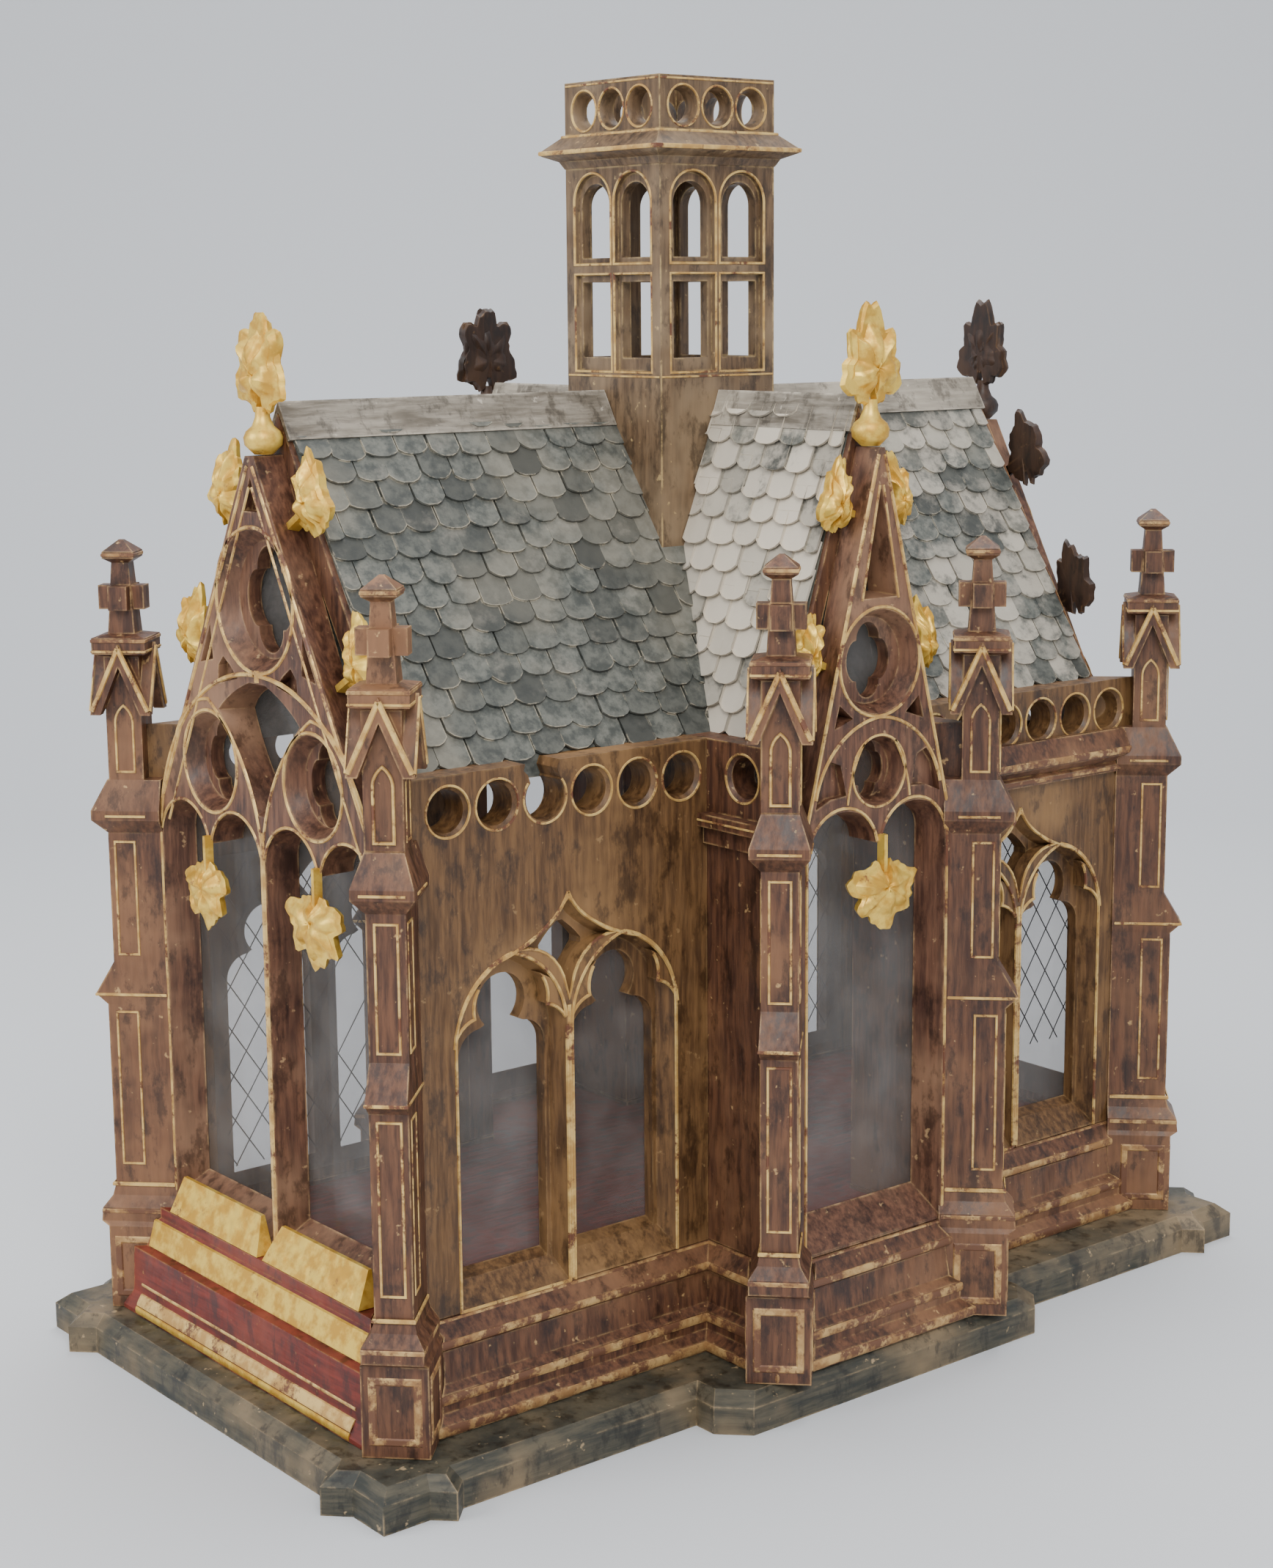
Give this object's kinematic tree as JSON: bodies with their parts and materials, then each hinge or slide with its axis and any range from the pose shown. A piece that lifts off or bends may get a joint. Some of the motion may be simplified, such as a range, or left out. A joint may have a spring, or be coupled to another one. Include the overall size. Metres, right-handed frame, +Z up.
{
  "type": "reliquary",
  "caption": "Chapel-shaped wooden reliquary with glazed traceried gables and bays, diagonal buttresses, shingled cross roof and lantern tower, hollow inside",
  "frame": {"origin": "centre of the bounding box on the ground, under the crossing of nave and transept", "axes": "+X along the nave to the right of the front, -Y is the front transept, +Z up"},
  "size_m": [0.7522, 0.4796, 0.8],
  "materials": {
    "red_brown_wood": "painted red-brown over ochre, satin, worn gilded edges",
    "ochre_wood": "grained ochre-brown stain, satin, worn",
    "gilt_wood": "carved wood with bright water gilding",
    "dark_wood": "dark stained carved wood",
    "roof_shingles": "slate-grey painted wooden shingles, matt, worn",
    "ridge_wood": "beige-grey painted boards, matt, worn",
    "base_wood": "dark green-black paint, matt, rubbed at the edges",
    "floor_wood": "red-brown painted board, matt",
    "glass": "clear old sheet glass, dusty, some with painted black diamond lattice"
  },
  "bodies": {
    "root": {"base_board": "base_wood", "buttress_back_left": "red_brown_wood", "buttress_back_right": "red_brown_wood", "buttress_front_left": "red_brown_wood", "buttress_front_right": "red_brown_wood", "buttress_transept_back_left": "red_brown_wood", "buttress_transept_back_right": "red_brown_wood", "buttress_transept_front_left": "red_brown_wood", "buttress_transept_front_right": "red_brown_wood", "cornice_back_left": "red_brown_wood", "cornice_back_right": "red_brown_wood", "cornice_front_right": "red_brown_wood", "crocket_front_1": "gilt_wood", "crocket_front_2": "gilt_wood", "crocket_front_3": "gilt_wood", "crocket_front_4": "gilt_wood", "crocket_left_1": "gilt_wood", "crocket_left_2": "gilt_wood", "crocket_left_3": "gilt_wood", "crocket_left_4": "gilt_wood", "finial_back": "dark_wood", "finial_front": "gilt_wood", "finial_left": "gilt_wood", "finial_right": "dark_wood", "floor_board": "floor_wood", "gable_back": "red_brown_wood", "gable_front": "red_brown_wood", "gable_left": "red_brown_wood", "gable_right": "red_brown_wood", "gilt_sill_1": "gilt_wood", "gilt_sill_2": "gilt_wood", "glass_back_left": "glass", "glass_back_right": "glass", "glass_front_left": "glass", "glass_front_right": "glass", "glass_gable_back": "glass", "glass_gable_front": "glass", "glass_gable_left": "glass", "glass_gable_right": "glass", "lantern_tower": "red_brown_wood", "pendant_leaf_front": "gilt_wood", "pendant_leaf_left_1": "gilt_wood", "pendant_leaf_left_2": "gilt_wood", "plinth": "red_brown_wood", "plinth_left_end": "red_brown_wood", "plinth_right_end": "red_brown_wood", "ridge_cap_back": "ridge_wood", "ridge_cap_front": "ridge_wood", "ridge_cap_left": "ridge_wood", "ridge_cap_right": "ridge_wood", "roof_shell": "roof_shingles", "transept_wall_back_left": "red_brown_wood", "transept_wall_back_right": "red_brown_wood", "transept_wall_front_left": "red_brown_wood", "transept_wall_front_right": "red_brown_wood", "wall_back_left": "ochre_wood", "wall_back_right": "ochre_wood", "wall_front_left": "ochre_wood", "wall_front_right": "ochre_wood"}
  },
  "joints": []
}
